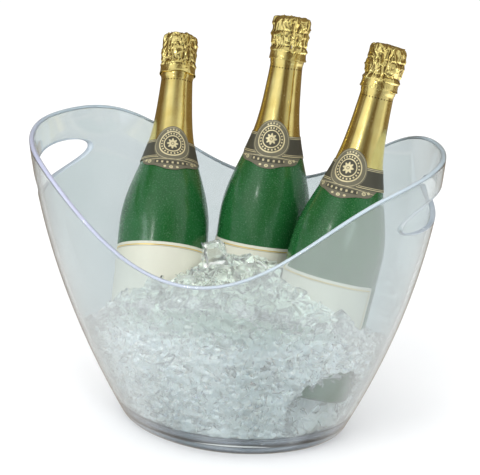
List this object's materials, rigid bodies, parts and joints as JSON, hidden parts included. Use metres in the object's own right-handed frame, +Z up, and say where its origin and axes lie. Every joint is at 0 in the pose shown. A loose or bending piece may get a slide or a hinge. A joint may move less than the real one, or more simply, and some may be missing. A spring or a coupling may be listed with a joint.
{
  "type": "champagne bucket",
  "caption": "Clear oval acrylic bucket with a handle hole in each high end, holding corked sparkling wine bottles in crushed ice for a bar or table.",
  "frame": {"origin": "centre of the bucket's flat base, on the surface it stands on", "axes": "+Z up, +X along the length of the oval towards the right-hand handle, low front side of the rim faces -Y"},
  "size_m": [0.3868, 0.3163, 0.3778],
  "materials": {
    "acrylic": "clear cast acrylic, faint blue-grey tint, polished",
    "ice": "packed crushed ice, wet and frosty",
    "ice_lump": "clear wet ice",
    "bottle_glass": "green bottle glass, cold, lightly misted",
    "wine": "pale sparkling wine",
    "neck_foil": "gold foil, smooth",
    "hood_foil": "gold foil, crumpled over the wire cage",
    "neck_label": "taupe coated paper with gold rings",
    "body_label": "cream coated paper with a thin gold line",
    "cork": "natural cork",
    "wire": "galvanised wire",
    "cap": "plain gold lacquered disc"
  },
  "bodies": {
    "bucket": {"bucket": "acrylic", "ice_bed": "ice", "ice_lump_1": "ice_lump", "ice_lump_2": "ice_lump", "ice_lump_3": "ice_lump", "ice_lump_4": "ice_lump"},
    "bottle_left": {"bottle_left": "bottle_glass", "wine_left": "wine", "neck_foil_left": "neck_foil", "neck_label_left": "neck_label", "body_label_left": "body_label"},
    "stopper_left": {"cork_left": "cork", "muselet_left": "wire", "cap_left": "cap", "hood_left": "hood_foil"},
    "bottle_middle": {"bottle_middle": "bottle_glass", "wine_middle": "wine", "neck_foil_middle": "neck_foil", "neck_label_middle": "neck_label", "body_label_middle": "body_label"},
    "stopper_middle": {"cork_middle": "cork", "muselet_middle": "wire", "cap_middle": "cap", "hood_middle": "hood_foil"},
    "bottle_right": {"bottle_right": "bottle_glass", "wine_right": "wine", "neck_foil_right": "neck_foil", "neck_label_right": "neck_label", "body_label_right": "body_label"},
    "stopper_right": {"cork_right": "cork", "muselet_right": "wire", "cap_right": "cap", "hood_right": "hood_foil"}
  },
  "joints": [
    {"name": "lift_left", "type": "slide", "parent": "bucket", "child": "bottle_left", "axis": [-0.049, 0.1959, 0.9794], "range_m": [0, 0.28]},
    {"name": "pull_left", "type": "slide", "parent": "bottle_left", "child": "stopper_left", "axis": [-0.0819, 0.5432, 0.8356], "range_m": [0, 0.045]},
    {"name": "lift_middle", "type": "slide", "parent": "bucket", "child": "bottle_middle", "axis": [0.0552, 0.2835, 0.9574], "range_m": [0, 0.28]},
    {"name": "pull_middle", "type": "slide", "parent": "bottle_middle", "child": "stopper_middle", "axis": [0.0552, 0.2835, 0.9574], "range_m": [0, 0.045]},
    {"name": "lift_right", "type": "slide", "parent": "bucket", "child": "bottle_right", "axis": [0.1548, 0.3183, 0.9353], "range_m": [0, 0.28]},
    {"name": "pull_right", "type": "slide", "parent": "bottle_right", "child": "stopper_right", "axis": [0.1548, 0.3183, 0.9353], "range_m": [0, 0.045]}
  ]
}
